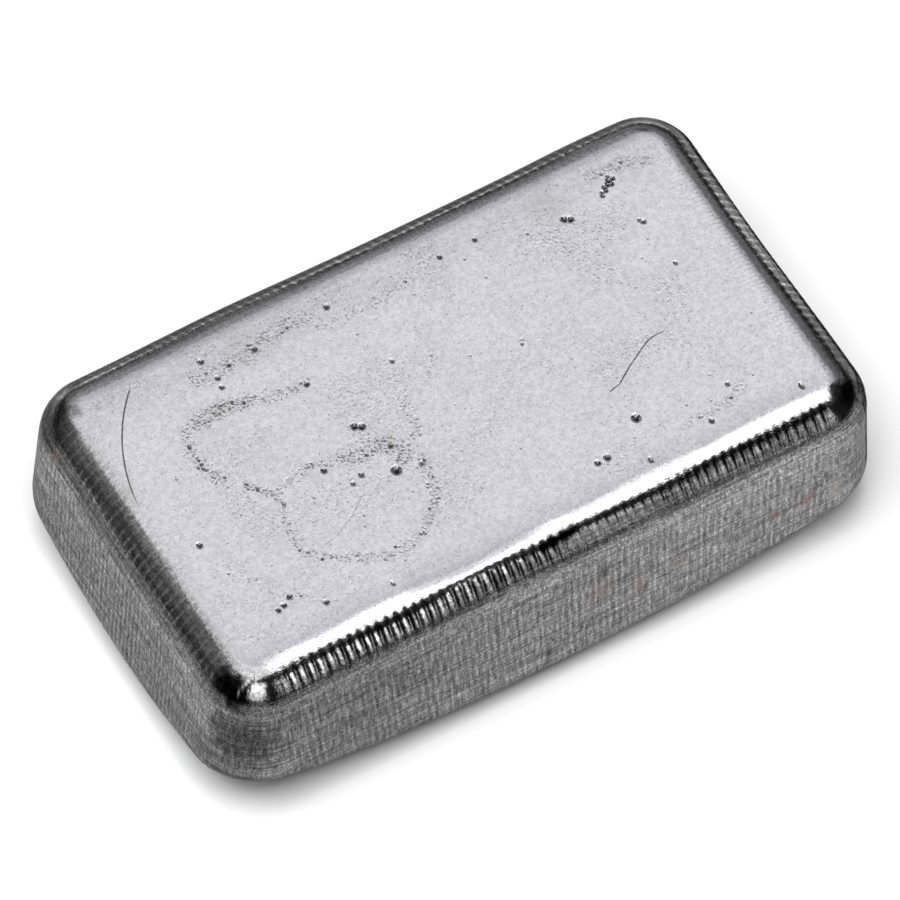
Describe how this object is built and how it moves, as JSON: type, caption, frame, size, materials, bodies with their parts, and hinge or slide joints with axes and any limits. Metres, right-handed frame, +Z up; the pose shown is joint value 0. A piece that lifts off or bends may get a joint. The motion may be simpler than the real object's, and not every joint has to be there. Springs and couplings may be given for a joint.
{
  "type": "metal ingot",
  "caption": "Small hand-poured metal bar with a flat mould face, rounded edges and corners, drafted walls and a domed pour face underneath.",
  "frame": {"origin": "centre of the footprint, on the flat of the pour face that the bar rests on", "axes": "+X along the length, +Y across the width, +Z up through the mould face"},
  "size_m": [0.047, 0.0276, 0.0131],
  "materials": {
    "cast_silver": "bare cast metal, bright and grainy on the mould face, with mill marks from the mould round the edge and on the walls"
  },
  "bodies": {
    "root": {"ingot": "cast_silver"}
  },
  "joints": []
}
